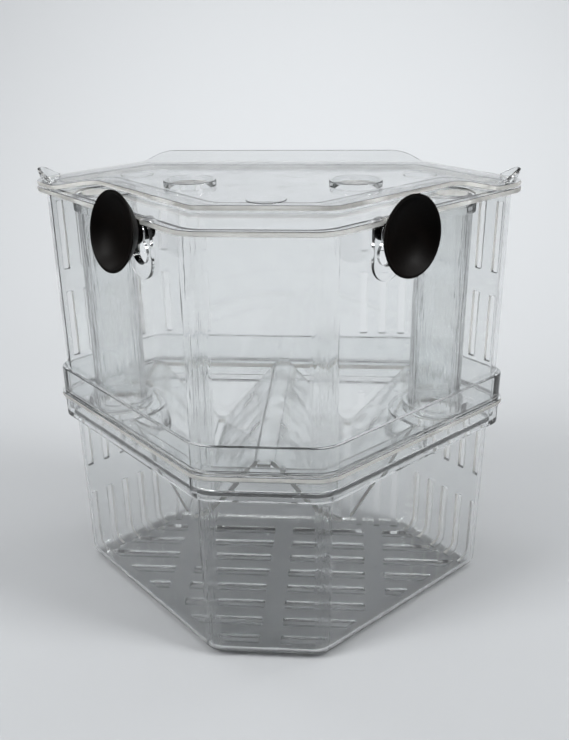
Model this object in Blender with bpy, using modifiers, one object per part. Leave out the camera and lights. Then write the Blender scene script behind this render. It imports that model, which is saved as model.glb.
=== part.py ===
"""Two-tier fish breeding box: a clear moulded box in stacked pieces, with two suction cups.

From the bottom up: a lower box with a slotted floor for the fry, a tray that sits in its collar,
a W-shaped separator that hangs in the tray's opening, an upper box with two feed tubes that stands
in the tray's rim, and a lid. The two front diagonals stand at 45 degrees, so that the cups on them
meet the two panes of a tank's corner. Metres, +Z up, the front towards -Y, the origin at the middle
of the box under its floor.
"""

from math import atan2, cos, hypot, pi, radians, sin, tan

import bmesh
import bpy
from mathutils import Matrix, Vector

MM = 0.001

# Plan, measured on the outer edge of the deck with sharp corners
HALF_WIDTH = 67.0 * MM
FRONT_HALF = 16.6 * MM
BACK_HALF = 41.4 * MM
BACK_DEPTH = 27.7 * MM
SIDE_RADIUS = 6.0 * MM
FRONT_RADIUS = 9.0 * MM
BACK_RADIUS = 6.0 * MM
LEAST_RADIUS = 1.5 * MM

# Walls and clearances
WALL = 1.2 * MM
PLATE = 1.3 * MM
SEAT_GAP = 0.3 * MM
SIDE_GAP = 0.3 * MM

# Lower box
LOWER_HEIGHT = 56.9 * MM
COLLAR_HEIGHT = 4.7 * MM
COLLAR_INSET = 0.8 * MM
LOWER_WALL_INSET = 3.0 * MM
LOWER_DRAFT = 0.5 * MM
FLOOR_FILLET = 4.0 * MM

# Tray
RIM_HEIGHT = 7.8 * MM
SKIRT_DEPTH = 4.0 * MM
OPENING_FROM_TUBE = 4.2 * MM
OPENING_INSET = 6.2 * MM
LOBE_RADIUS = 12.5 * MM
LOBE_DEPTH = 8.0 * MM
TUBE_SEAT_HEIGHT = 2.4 * MM
TUBE_SEAT_WALL = 1.2 * MM

# Separator
TROUGH_X = 20.0 * MM
TROUGH_DEPTH = 19.8 * MM
TROUGH_FLAT = 3.0 * MM
RIDGE_TOP = 3.6 * MM
LIP_WIDTH = 2.2 * MM
END_GAP = 1.0 * MM
FRONT_TAB = 1.8 * MM
BACK_TAB = 2.5 * MM
SLIT_WIDTH = 2.0 * MM
SLIT_END = 2.2 * MM

# Upper box
UPPER_HEIGHT = 60.4 * MM
DECK_FRONT = 22.0 * MM
DECK_SIDE = 18.0 * MM
DECK_END = 11.8 * MM
DECK_RADIUS = 5.0 * MM
DECK_LEDGE = 0.6 * MM
TUBE_BORE = 12.4 * MM
TUBE_FROM_SIDE = 21.9 * MM
FEED_HOLE = 8.0 * MM
FEED_HOLE_EDGE = 0.5 * MM

# Slots in the back walls, about the middle of each diagonal and in from each corner of the back
SLOT_WIDTH = 2.1 * MM
SLOT_PITCH = 5.8 * MM
DIAGONAL_SLOTS = 5
BACK_SLOTS = 3
BACK_SLOT_EDGE = 5.3 * MM
UPPER_ROW_LOW = 9.3 * MM
UPPER_ROW_LENGTH = 19.8 * MM
UPPER_ROW_STEP = 26.4 * MM
LOWER_ROW_TOP = 21.5 * MM
LOWER_ROW_GAP = 9.6 * MM
LOWER_ROW_HEAD = 2.8 * MM
WRAP_LENGTH = 3.2 * MM

# Slots in the floor
FLOOR_ROWS = 8
FLOOR_ROW_PITCH = 7.66 * MM
FLOOR_SLOT_WIDTH = 2.9 * MM
FLOOR_FIRST_ROW = 13.6 * MM
FLOOR_EDGE = 5.8 * MM
MIDDLE_RIB = 6.0 * MM
SIDE_RIB = 6.0 * MM
SIDE_RIB_X = 29.0 * MM

# Cup brackets and cups
CUP_ALONG = 19.5 * MM
CUP_DROP = 3.8 * MM
NECK_RADIUS = 1.5 * MM
NECK_GAP = 0.3 * MM
HEAD_RADIUS = 2.2 * MM
HEAD_THICKNESS = 2.2 * MM
HEAD_GAP = 1.0 * MM
CUP_TRAVEL = 4.8 * MM
BOSS_WIDTH = 10.0 * MM
BOSS_DEPTH = 0.8 * MM
BOSS_FOOT = 3.6 * MM
HUB_RADIUS = 3.1 * MM
HUB_LENGTH = 1.9 * MM
CUP_RADIUS = 9.5 * MM
CUP_DEPTH = 5.1 * MM
CUP_LIP = 0.6 * MM
CUP_CROWN = 1.6 * MM
NOTCH_GAP = 0.5 * MM

# Lid
LID_PLATE = 1.2 * MM
LID_EDGE_INSET = 0.1 * MM
LID_FRONT = 18.5 * MM
LID_SIDE = 12.5 * MM
LID_END = 13.3 * MM
LID_RADIUS = 4.0 * MM
LOCATING_RIB = 1.0 * MM
LOCATING_DEPTH = 1.8 * MM
LOCATING_GAP = 0.4 * MM
TAB_HEIGHT = 3.3 * MM
TAB_THICKNESS = 1.0 * MM
TAB_SLOPE = 5.8 * MM
EAR_HEIGHT = 3.1 * MM
EAR_WIDTH = 10.0 * MM
EAR_THICKNESS = 1.2 * MM
EAR_LEAN = radians(22)
EAR_SET_BACK = 1.6 * MM
LID_HOLE = 12.0 * MM
LID_HOLE_X = 21.5 * MM
LID_HOLE_FROM_BACK = 35.2 * MM
LID_COLLAR_WALL = 0.9 * MM
LID_COLLAR_HEIGHT = 1.4 * MM

# Roundness of the solids
ARC_STEPS = 5
TUBE_SIDES = 32
CUP_SIDES = 40
FILLET_STEPS = 4
CUT_MARGIN = 1.0 * MM
SUNK = 0.1 * MM

# The front diagonals stand at 45 degrees, and the plan is centred on its depth
FRONT_DEPTH = HALF_WIDTH - FRONT_HALF
FRONT_Y = -(FRONT_DEPTH + BACK_DEPTH) / 2
SIDE_Y = FRONT_Y + FRONT_DEPTH
BACK_Y = SIDE_Y + BACK_DEPTH

# Each piece nests inside the one that carries it
COLLAR_INNER = COLLAR_INSET + WALL
SKIRT_INSET = COLLAR_INNER + SIDE_GAP
RIM_INSET = COLLAR_INSET
UPPER_WALL_INSET = RIM_INSET + WALL + SIDE_GAP
UPPER_INNER = UPPER_WALL_INSET + WALL
MOUTH_INSET = UPPER_INNER + DECK_LEDGE

# Heights of the stack
SHOULDER_TOP = LOWER_HEIGHT - COLLAR_HEIGHT
TRAY_SEAT = LOWER_HEIGHT + SEAT_GAP
FLANGE_TOP = TRAY_SEAT + PLATE
UPPER_SEAT = FLANGE_TOP + SEAT_GAP
DECK_TOP = UPPER_SEAT + UPPER_HEIGHT
DECK_LOW = DECK_TOP - PLATE
LID_SEAT = DECK_TOP + SEAT_GAP
LID_TOP = LID_SEAT + LID_PLATE
CUP_HEIGHT = DECK_TOP - CUP_DROP
SHEET_LEVEL = FLANGE_TOP + SEAT_GAP + WALL / 2

# Feed tubes stand against the diagonal walls, flush with their outer faces
DIAGONAL = hypot(HALF_WIDTH - FRONT_HALF, FRONT_DEPTH)
TUBE_RADIUS = TUBE_BORE / 2 + WALL
TUBE_INSET = UPPER_WALL_INSET + SUNK + TUBE_RADIUS
TUBE_ALONG = DIAGONAL - TUBE_FROM_SIDE
TUBE_X = FRONT_HALF + (TUBE_ALONG - TUBE_INSET) * cos(pi / 4)
OPENING_HALF = TUBE_X - OPENING_FROM_TUBE
DECK_REACH = DIAGONAL - DECK_END
LID_REACH = DIAGONAL - LID_END

PIECES = "fish_breeding_box"
CUTTERS = "cutters"


def clear_scene():
    for item in list(bpy.data.objects):
        bpy.data.objects.remove(item, do_unlink=True)
    for name in (PIECES, CUTTERS):
        collection = bpy.data.collections.new(name)
        bpy.context.scene.collection.children.link(collection)


def make_material(name, colour, roughness, transmission, ior):
    material = bpy.data.materials.new(name)
    material.use_nodes = True
    shader = material.node_tree.nodes["Principled BSDF"]
    shader.inputs["Base Color"].default_value = (*colour, 1.0)
    shader.inputs["Roughness"].default_value = roughness
    shader.inputs["Transmission Weight"].default_value = transmission
    shader.inputs["IOR"].default_value = ior
    return material


def clear_plastic(name):
    return make_material(name, (0.90, 0.93, 0.93), 0.06, 1.0, 1.59)


def black_rubber(name):
    return make_material(name, (0.012, 0.011, 0.011), 0.55, 0.0, 1.52)


def add_object(name, mesh_data, collection, material=None):
    made = bpy.data.objects.new(name, mesh_data)
    bpy.data.collections[collection].objects.link(made)
    if collection == CUTTERS:
        made.hide_render = True
        made.display_type = "WIRE"
    if material:
        mesh_data.materials.append(material)
    return made


def from_bmesh(name, shape, collection=CUTTERS, material=None):
    bmesh.ops.recalc_face_normals(shape, faces=shape.faces)
    data = bpy.data.meshes.new(name)
    shape.to_mesh(data)
    shape.free()
    return add_object(name, data, collection, material)


def combine(piece, operation, other, crossing=False):
    step = piece.modifiers.new(f"{operation.lower()}_{other.name}", "BOOLEAN")
    step.operation = operation
    step.object = other
    step.solver = "EXACT"
    step.use_self = crossing


def finish(piece, seat):
    """Put the piece's origin on the middle axis, at the height of its seat."""
    piece.data.transform(Matrix.Translation((0, 0, -seat)))
    piece.location.z = seat
    piece.data.shade_smooth()
    piece.data.set_sharp_from_angle(angle=radians(30))


def carry(parent, child):
    bpy.context.view_layer.update()
    child.parent = parent
    child.matrix_parent_inverse = parent.matrix_world.inverted()


def meet(first, second):
    """Where two lines cross; each is a point and a direction."""
    (p, d), (q, e) = first, second
    across = d.x * e.y - d.y * e.x
    run = ((q.x - p.x) * e.y - (q.y - p.y) * e.x) / across
    return p + d * run


def plan_corners(inset):
    """The six corners of the plan, counter-clockwise from the front left, with every side set in."""
    sharp = [
        Vector((-FRONT_HALF, FRONT_Y)),
        Vector((FRONT_HALF, FRONT_Y)),
        Vector((HALF_WIDTH, SIDE_Y)),
        Vector((BACK_HALF, BACK_Y)),
        Vector((-BACK_HALF, BACK_Y)),
        Vector((-HALF_WIDTH, SIDE_Y)),
    ]
    sides = []
    for start, end in zip(sharp, sharp[1:] + sharp[:1]):
        run = (end - start).normalized()
        sides.append((start + Vector((-run.y, run.x)) * inset, run))
    return [meet(sides[i - 1], sides[i]) for i in range(len(sides))]


def rounded(corners, radii):
    """A closed outline with an arc at each corner, turning either way."""
    points = []
    for i, corner in enumerate(corners):
        before = (corners[i - 1] - corner).normalized()
        after = (corners[(i + 1) % len(corners)] - corner).normalized()
        half = before.angle(after) / 2
        centre = corner + (before + after).normalized() * (radii[i] / sin(half))
        start = corner + before * (radii[i] / tan(half)) - centre
        sweep = pi - 2 * half
        turn = 1 if before.x * after.y - before.y * after.x < 0 else -1
        first = atan2(start.y, start.x)
        for step in range(ARC_STEPS + 1):
            angle = first + turn * sweep * step / ARC_STEPS
            points.append(centre + Vector((cos(angle), sin(angle))) * radii[i])
    return points


def plan_outline(inset):
    radii = [FRONT_RADIUS, FRONT_RADIUS, SIDE_RADIUS, BACK_RADIUS, BACK_RADIUS, SIDE_RADIUS]
    return rounded(plan_corners(inset), [max(radius - inset, LEAST_RADIUS) for radius in radii])


def on_diagonal(along, inset, side=1):
    """A point of a front diagonal: along it from the front corner, and inwards from the deck's edge."""
    run = Vector((FRONT_DEPTH, FRONT_DEPTH)).normalized()
    point = Vector((FRONT_HALF, FRONT_Y)) + run * along + Vector((-run.y, run.x)) * inset
    return Vector((side * point.x, point.y))


def facing_out(along, inset, height, side):
    """The place on a front diagonal where local +Y points out of the box."""
    point = on_diagonal(along, inset, side)
    return Matrix.Translation((point.x, point.y, height)) @ Matrix.Rotation(-side * 3 * pi / 4, 4, "Z")


def set_back_outline(front, diagonal, reach, edge, radius):
    """The plan set in by edge, but further along the front and the front diagonals up to reach."""
    _, _, side, back, _, _ = plan_corners(edge)
    front_line = (Vector((0, FRONT_Y + front)), Vector((1, 0)))
    diagonal_line = (on_diagonal(0, diagonal), on_diagonal(1, diagonal) - on_diagonal(0, diagonal))
    half = [
        meet(front_line, diagonal_line),
        on_diagonal(reach, diagonal),
        on_diagonal(reach, edge),
        side,
        back,
    ]
    corner = max(SIDE_RADIUS - edge, LEAST_RADIUS)
    radii = [radius, radius, LEAST_RADIUS, corner, max(BACK_RADIUS - edge, LEAST_RADIUS)]
    mirrored = [Vector((-point.x, point.y)) for point in reversed(half)]
    return rounded(half + mirrored, radii + radii[::-1])


def loft(name, rings, collection=CUTTERS, material=None):
    """A closed solid through flat outlines of equal count; each ring is a height and its points."""
    shape = bmesh.new()
    low, points = rings[0]
    bottom = shape.faces.new([shape.verts.new((point.x, point.y, low)) for point in points])
    top = bottom
    for height, points in rings[1:]:
        made = bmesh.ops.extrude_face_region(shape, geom=[top])["geom"]
        if top is not bottom:
            shape.faces.remove(top)
        top = next(item for item in made if isinstance(item, bmesh.types.BMFace))
        for vertex, point in zip(top.verts, points):
            vertex.co = (point.x, point.y, height)
    return from_bmesh(name, shape, collection, material)


def plan_loft(name, levels, collection=CUTTERS, material=None):
    return loft(name, [(height, plan_outline(inset)) for height, inset in levels], collection, material)


def slab(name, outline, low, high, collection=CUTTERS, material=None):
    return loft(name, [(low, outline), (high, outline)], collection, material)


def add_cylinder(shape, radius, low, high, place=Matrix(), sides=TUBE_SIDES):
    middle = Matrix.Translation((0, 0, (low + high) / 2))
    bmesh.ops.create_cone(
        shape, cap_ends=True, segments=sides, radius1=radius, radius2=radius, depth=high - low,
        matrix=place @ middle,
    )


def add_box(shape, size, place):
    bmesh.ops.create_cube(shape, size=1, matrix=place @ Matrix.Diagonal((*size, 1)))


def tube_places():
    for side in (-1, 1):
        point = on_diagonal(TUBE_ALONG, TUBE_INSET, side)
        yield Matrix.Translation((point.x, point.y, 0))


def cylinders(name, radius, low, high):
    """One upright cylinder on each feed tube's axis."""
    shape = bmesh.new()
    for place in tube_places():
        add_cylinder(shape, radius, low, high, place)
    return from_bmesh(name, shape)


def back_wall_slots(wall_inset):
    """Where the back walls are slotted: a frame on each slot, its local +Y pointing out of the box."""
    _, _, side, back, _, _ = plan_corners(wall_inset)
    run = (side - back).normalized()
    middle = (side + back) / 2
    out = Vector((-run.y, run.x))
    for i in range(DIAGONAL_SLOTS):
        point = middle + run * SLOT_PITCH * (i - (DIAGONAL_SLOTS - 1) / 2)
        turn = atan2(-out.x, out.y)
        for mirror in (1, -1):
            yield Matrix.Translation((mirror * point.x, point.y, 0)) @ Matrix.Rotation(mirror * turn, 4, "Z")
    for i in range(BACK_SLOTS):
        for mirror in (1, -1):
            yield Matrix.Translation((mirror * (BACK_HALF - BACK_SLOT_EDGE - i * SLOT_PITCH), back.y, 0))


def wall_slots(name, wall_inset, low, high, inwards, outwards):
    """A cutter for one row of slots, reaching from the wall's outer face inwards and outwards."""
    shape = bmesh.new()
    size = (SLOT_WIDTH, inwards + outwards, high - low)
    for place in back_wall_slots(wall_inset):
        add_box(shape, size, place @ Matrix.Translation((0, (outwards - inwards) / 2, (low + high) / 2)))
    return from_bmesh(name, shape)


def floor_slots():
    """Rows of slots across the floor between three ribs, ending in line with the walls."""
    rows = bmesh.new()
    columns = [
        (MIDDLE_RIB / 2, SIDE_RIB_X - SIDE_RIB / 2),
        (SIDE_RIB_X + SIDE_RIB / 2, HALF_WIDTH),
    ]
    for row in range(FLOOR_ROWS):
        y = BACK_Y - FLOOR_FIRST_ROW - row * FLOOR_ROW_PITCH
        for start, end in columns:
            for mirror in (1, -1):
                place = Matrix.Translation((mirror * (start + end) / 2, y, PLATE / 2))
                add_box(rows, (end - start, FLOOR_SLOT_WIDTH, PLATE + 2 * CUT_MARGIN), place)
    cutter = from_bmesh("floor_slots", rows)
    edge = LOWER_WALL_INSET + LOWER_DRAFT + FLOOR_EDGE
    field = plan_loft("floor_slot_field", [(-2 * CUT_MARGIN, edge), (PLATE + 2 * CUT_MARGIN, edge)])
    combine(cutter, "INTERSECT", field)
    return cutter


def filleted_levels(foot_inset, radius, low, high, high_inset):
    """Levels of a tapered cup whose wall runs into its floor by a quarter round."""
    levels = []
    for step in range(FILLET_STEPS + 1):
        angle = pi / 2 * (1 - step / FILLET_STEPS)
        levels.append((low + radius * (1 - sin(angle)), foot_inset + radius * (1 - cos(angle))))
    return levels + [(high, high_inset)]


def make_lower_box():
    foot = LOWER_WALL_INSET + LOWER_DRAFT
    outer = filleted_levels(foot, FLOOR_FILLET, 0, SHOULDER_TOP - PLATE, LOWER_WALL_INSET)
    levels = outer + [(SHOULDER_TOP - PLATE, COLLAR_INSET), (LOWER_HEIGHT, COLLAR_INSET)]
    box = plan_loft("lower_box", levels, PIECES, clear_plastic("lower_box_clear_plastic"))
    inner = filleted_levels(
        foot + WALL, FLOOR_FILLET - WALL, PLATE, SHOULDER_TOP, LOWER_WALL_INSET + WALL
    )
    mouth = [(SHOULDER_TOP, COLLAR_INNER), (LOWER_HEIGHT + CUT_MARGIN, COLLAR_INNER)]
    combine(box, "DIFFERENCE", plan_loft("lower_chamber", inner + mouth))
    reach = WRAP_LENGTH + FLOOR_FILLET
    foot_slots = wall_slots("foot_slots", foot, -CUT_MARGIN, LOWER_ROW_TOP, reach, CUT_MARGIN)
    combine(box, "DIFFERENCE", foot_slots, crossing=True)
    low = LOWER_ROW_TOP + LOWER_ROW_GAP
    high_slots = wall_slots(
        "lower_high_slots", LOWER_WALL_INSET, low, SHOULDER_TOP - PLATE - LOWER_ROW_HEAD,
        WALL + LOWER_DRAFT + CUT_MARGIN, CUT_MARGIN,
    )
    combine(box, "DIFFERENCE", high_slots, crossing=True)
    combine(box, "DIFFERENCE", floor_slots())
    finish(box, 0)
    return box


def opening_block(name, gap, half, low, high):
    """A block that fills the tray's opening: the plan set in, and cut off at a half width on both sides."""
    inset = OPENING_INSET + gap
    block = plan_loft(name, [(low, inset), (high, inset)])
    flanks = bmesh.new()
    size = (2 * half, 2 * (BACK_Y - FRONT_Y), high - low + 2 * CUT_MARGIN)
    add_box(flanks, size, Matrix.Translation((0, 0, (low + high) / 2)))
    combine(block, "INTERSECT", from_bmesh(f"{name}_flanks", flanks))
    return block


def ring(name, outer, inner, low, high):
    """One upright ring on each feed tube's axis."""
    rings = cylinders(name, outer, low, high)
    combine(rings, "DIFFERENCE", cylinders(f"{name}_bore", inner, low - CUT_MARGIN, high + CUT_MARGIN))
    return rings


def make_tray():
    levels = [
        (TRAY_SEAT, 0), (FLANGE_TOP, 0), (FLANGE_TOP, RIM_INSET), (FLANGE_TOP + RIM_HEIGHT, RIM_INSET),
    ]
    tray = plan_loft("tray", levels, PIECES, clear_plastic("tray_clear_plastic"))
    socket = [(FLANGE_TOP, RIM_INSET + WALL), (FLANGE_TOP + RIM_HEIGHT + CUT_MARGIN, RIM_INSET + WALL)]
    combine(tray, "DIFFERENCE", plan_loft("upper_box_socket", socket))
    foot = TRAY_SEAT - SKIRT_DEPTH
    skirt = plan_loft("tray_skirt", [(foot, SKIRT_INSET), (TRAY_SEAT + SUNK, SKIRT_INSET)])
    inner = SKIRT_INSET + WALL
    within = plan_loft("space_in_skirt", [(foot - CUT_MARGIN, inner), (TRAY_SEAT + CUT_MARGIN, inner)])
    combine(skirt, "DIFFERENCE", within)
    combine(tray, "UNION", skirt)
    opening = opening_block("tray_opening", 0, OPENING_HALF, TRAY_SEAT - CUT_MARGIN, FLANGE_TOP + CUT_MARGIN)
    combine(tray, "DIFFERENCE", opening)
    low = FLANGE_TOP - LOBE_DEPTH
    lobes = cylinders("tube_lobes", LOBE_RADIUS, low, FLANGE_TOP - SUNK)
    hollow = cylinders("lobe_hollows", LOBE_RADIUS - WALL, low - CUT_MARGIN, TRAY_SEAT + SUNK)
    combine(lobes, "DIFFERENCE", hollow)
    bounds = opening_block("lobe_bounds", -WALL, OPENING_HALF + WALL, low - CUT_MARGIN, FLANGE_TOP + CUT_MARGIN)
    combine(lobes, "INTERSECT", bounds)
    combine(tray, "UNION", lobes)
    socket = TUBE_RADIUS + SIDE_GAP
    seats = ring("tube_seats", socket + TUBE_SEAT_WALL, socket, FLANGE_TOP - 2 * SUNK, FLANGE_TOP + TUBE_SEAT_HEIGHT)
    inner = UPPER_INNER + SIDE_GAP
    combine(seats, "INTERSECT", plan_loft("seat_bounds", [(TRAY_SEAT, inner), (FLANGE_TOP + RIM_HEIGHT, inner)]))
    combine(tray, "UNION", seats)
    holes = cylinders("tray_feed_holes", TUBE_BORE / 2 + SIDE_GAP, TRAY_SEAT - CUT_MARGIN, FLANGE_TOP + CUT_MARGIN)
    combine(tray, "DIFFERENCE", holes)
    finish(tray, TRAY_SEAT)
    return tray


def make_separator():
    """A folded sheet: a middle ridge, two troughs with a slit each, and lips that rest on the tray."""
    floor = SHEET_LEVEL - TROUGH_DEPTH
    flank = OPENING_HALF - SIDE_GAP - WALL
    half = [
        (RIDGE_TOP / 2, SHEET_LEVEL),
        (TROUGH_X - TROUGH_FLAT / 2, floor),
        (TROUGH_X + TROUGH_FLAT / 2, floor),
        (flank, SHEET_LEVEL),
        (flank + LIP_WIDTH + WALL, SHEET_LEVEL),
    ]
    profile = [(-x, z) for x, z in reversed(half)] + half
    shape = bmesh.new()
    ends = [shape.verts.new((x, FRONT_Y, z)) for x, z in profile]
    folds = [shape.edges.new(pair) for pair in zip(ends, ends[1:])]
    made = bmesh.ops.extrude_edge_only(shape, edges=folds)["geom"]
    far = [item for item in made if isinstance(item, bmesh.types.BMVert)]
    bmesh.ops.translate(shape, verts=far, vec=(0, BACK_Y - FRONT_Y, 0))
    material = clear_plastic("separator_clear_plastic")
    sheet = from_bmesh("separator", shape, PIECES, material)
    thicken = sheet.modifiers.new("thickness", "SOLIDIFY")
    thicken.thickness = WALL
    thicken.offset = 0
    thicken.use_even_offset = True
    low = floor - WALL - CUT_MARGIN
    high = SHEET_LEVEL + WALL + CUT_MARGIN
    combine(sheet, "INTERSECT", opening_block("separator_bounds", END_GAP, OPENING_HALF + LIP_WIDTH, low, high))
    combine(sheet, "DIFFERENCE", cylinders("lobe_clearances", LOBE_RADIUS + SIDE_GAP, low, high))
    rear = BACK_Y - OPENING_INSET - END_GAP
    front = FRONT_Y + OPENING_INSET + END_GAP
    slits = bmesh.new()
    tabs = bmesh.new()
    for side in (-1, 1):
        middle = (side * TROUGH_X, (front + rear) / 2, floor)
        size = (SLIT_WIDTH, rear - front - 2 * SLIT_END, 2 * (WALL + CUT_MARGIN))
        add_box(slits, size, Matrix.Translation(middle))
    combine(sheet, "DIFFERENCE", from_bmesh("separator_slits", slits))
    reach = rear - front + FRONT_TAB + BACK_TAB
    middle = (rear + BACK_TAB + front - FRONT_TAB) / 2
    add_box(tabs, (RIDGE_TOP - 2 * SUNK, reach, WALL - 2 * SUNK), Matrix.Translation((0, middle, SHEET_LEVEL)))
    combine(sheet, "UNION", from_bmesh("ridge_tabs", tabs))
    finish(sheet, FLANGE_TOP)
    return sheet


def arc(centre, radius, first, last, steps=2 * ARC_STEPS):
    points = []
    for step in range(steps + 1):
        angle = first + (last - first) * step / steps
        points.append(Vector((centre[0] + radius * cos(angle), centre[1] + radius * sin(angle))))
    return points


def upright_slab(name, outlines, depth, inset):
    """Flat shapes standing on the two front diagonals, drawn as width and height about the cup's axis."""
    shape = bmesh.new()
    for side in (-1, 1):
        place = facing_out(CUP_ALONG, inset, CUP_HEIGHT, side)
        face = shape.faces.new([shape.verts.new(place @ Vector((u, 0, w))) for u, w in outlines])
        made = bmesh.ops.extrude_face_region(shape, geom=[face])["geom"]
        moved = [item for item in made if isinstance(item, bmesh.types.BMVert)]
        bmesh.ops.translate(shape, verts=moved, vec=place.to_3x3() @ Vector((0, depth, 0)))
    return from_bmesh(name, shape)


def keyhole_outline():
    """A narrow slot at the neck's height that widens below, where the cup's head goes through."""
    narrow = NECK_RADIUS + NECK_GAP
    wide = HEAD_RADIUS + HEAD_GAP
    start = pi - atan2(narrow, (wide ** 2 - narrow ** 2) ** 0.5)
    return (
        arc((0, 0), narrow, 0, pi)
        + arc((0, -CUP_TRAVEL), wide, pi / 2 + (start - pi / 2), 3 * pi - start)
    )


def make_upper_box():
    levels = [(UPPER_SEAT, UPPER_WALL_INSET), (DECK_LOW, UPPER_WALL_INSET), (DECK_LOW, 0), (DECK_TOP, 0)]
    box = plan_loft("upper_box", levels, PIECES, clear_plastic("upper_box_clear_plastic"))
    room = [(UPPER_SEAT - CUT_MARGIN, UPPER_INNER), (DECK_LOW, UPPER_INNER)]
    combine(box, "DIFFERENCE", plan_loft("upper_chamber", room))
    mouth = set_back_outline(DECK_FRONT, DECK_SIDE, DECK_REACH, MOUTH_INSET, DECK_RADIUS)
    combine(box, "DIFFERENCE", slab("upper_mouth", mouth, DECK_LOW - CUT_MARGIN, DECK_TOP + CUT_MARGIN))
    combine(box, "UNION", cylinders("feed_tubes", TUBE_RADIUS, UPPER_SEAT + SUNK, DECK_LOW + SUNK))
    foot = CUP_TRAVEL + HEAD_RADIUS + HEAD_GAP + BOSS_FOOT - BOSS_WIDTH / 2
    pad = [(BOSS_WIDTH / 2, DECK_LOW + SUNK - CUP_HEIGHT), (-BOSS_WIDTH / 2, DECK_LOW + SUNK - CUP_HEIGHT)]
    pad = [Vector(point) for point in pad] + arc((0, -foot), BOSS_WIDTH / 2, pi, 2 * pi)
    combine(box, "UNION", upright_slab("cup_bosses", pad, BOSS_DEPTH + SUNK, UPPER_WALL_INSET + SUNK))
    bores = cylinders("feed_bores", TUBE_BORE / 2, UPPER_SEAT - CUT_MARGIN, DECK_LOW - SUNK)
    combine(box, "DIFFERENCE", bores)
    holes = bmesh.new()
    for side in (-1, 1):
        point = on_diagonal(TUBE_ALONG, UPPER_INNER + FEED_HOLE_EDGE + FEED_HOLE / 2, side)
        place = Matrix.Translation((point.x, point.y, 0))
        add_cylinder(holes, FEED_HOLE / 2, DECK_LOW - CUT_MARGIN, DECK_TOP + CUT_MARGIN, place)
    combine(box, "DIFFERENCE", from_bmesh("feed_holes", holes))
    keyholes = upright_slab(
        "keyholes", keyhole_outline(), WALL + BOSS_DEPTH + 2 * CUT_MARGIN, UPPER_INNER + CUT_MARGIN
    )
    combine(box, "DIFFERENCE", keyholes)
    notch = bmesh.new()
    width = 2 * (HUB_RADIUS + NOTCH_GAP)
    face = UPPER_WALL_INSET - BOSS_DEPTH - SUNK
    depth = face + CUT_MARGIN
    height = PLATE + 2 * CUT_MARGIN
    for side in (-1, 1):
        place = facing_out(CUP_ALONG, face - depth / 2, DECK_LOW + PLATE / 2, side)
        add_box(notch, (width, depth, height), place)
    combine(box, "DIFFERENCE", from_bmesh("hub_notches", notch))
    for row in range(2):
        low = UPPER_SEAT + UPPER_ROW_LOW + row * UPPER_ROW_STEP
        slots = wall_slots(
            f"upper_slots_{row + 1}", UPPER_WALL_INSET, low, low + UPPER_ROW_LENGTH, WALL + CUT_MARGIN, CUT_MARGIN
        )
        combine(box, "DIFFERENCE", slots, crossing=True)
    finish(box, UPPER_SEAT)
    return box


def lid_tab_outline():
    """The upright tab on the back edge, with sloping ends, as width and height."""
    half = BACK_HALF - BACK_RADIUS
    return [
        Vector((half + TAB_SLOPE / 2, 0)),
        Vector((half - TAB_SLOPE / 2, TAB_HEIGHT)),
        Vector((-half + TAB_SLOPE / 2, TAB_HEIGHT)),
        Vector((-half - TAB_SLOPE / 2, 0)),
    ]


def make_lid():
    outline = set_back_outline(LID_FRONT, LID_SIDE, LID_REACH, LID_EDGE_INSET, LID_RADIUS)
    lid = slab("lid", outline, LID_SEAT, LID_TOP, PIECES, clear_plastic("lid_clear_plastic"))
    mouth = (DECK_FRONT, DECK_SIDE, DECK_REACH, MOUTH_INSET)
    ring = [value + LOCATING_GAP for value in mouth]
    core = [value + LOCATING_GAP + LOCATING_RIB for value in mouth]
    rib = slab(
        "locating_rib", set_back_outline(*ring, DECK_RADIUS), LID_SEAT - LOCATING_DEPTH, LID_SEAT + SUNK
    )
    space = slab(
        "rib_space", set_back_outline(*core, DECK_RADIUS), LID_SEAT - LOCATING_DEPTH - CUT_MARGIN, LID_SEAT + SUNK / 2
    )
    combine(rib, "DIFFERENCE", space)
    combine(lid, "UNION", rib)
    tab = bmesh.new()
    rear = BACK_Y - LID_EDGE_INSET
    low = LID_TOP - SUNK
    face = tab.faces.new([tab.verts.new((p.x, rear - SUNK, low + p.y)) for p in lid_tab_outline()])
    made = bmesh.ops.extrude_face_region(tab, geom=[face])["geom"]
    moved = [item for item in made if isinstance(item, bmesh.types.BMVert)]
    bmesh.ops.translate(tab, verts=moved, vec=(0, -TAB_THICKNESS, 0))
    combine(lid, "UNION", from_bmesh("back_tab", tab))
    ears = bmesh.new()
    corner = plan_corners(LID_EDGE_INSET)[2]
    for side in (-1, 1):
        tip = Matrix.Translation((side * (corner.x - SIDE_RADIUS / 2 - EAR_SET_BACK), corner.y, LID_TOP))
        lean = Matrix.Rotation(side * EAR_LEAN, 4, "Y")
        rise = Matrix.Translation((0, 0, (EAR_HEIGHT - WALL / 2) / 2))
        add_box(ears, (EAR_THICKNESS, EAR_WIDTH, EAR_HEIGHT + WALL / 2), tip @ lean @ rise)
    combine(lid, "UNION", from_bmesh("ears", ears))
    collars = bmesh.new()
    holes = bmesh.new()
    for side in (-1, 1):
        place = Matrix.Translation((side * LID_HOLE_X, BACK_Y - LID_HOLE_FROM_BACK, 0))
        add_cylinder(collars, LID_HOLE / 2 + LID_COLLAR_WALL, LID_TOP - SUNK, LID_TOP + LID_COLLAR_HEIGHT, place)
        add_cylinder(holes, LID_HOLE / 2, LID_SEAT - CUT_MARGIN, LID_TOP + LID_COLLAR_HEIGHT + CUT_MARGIN, place)
    combine(lid, "UNION", from_bmesh("hole_collars", collars))
    combine(lid, "DIFFERENCE", from_bmesh("lid_feed_holes", holes))
    finish(lid, LID_SEAT)
    return lid


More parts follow.
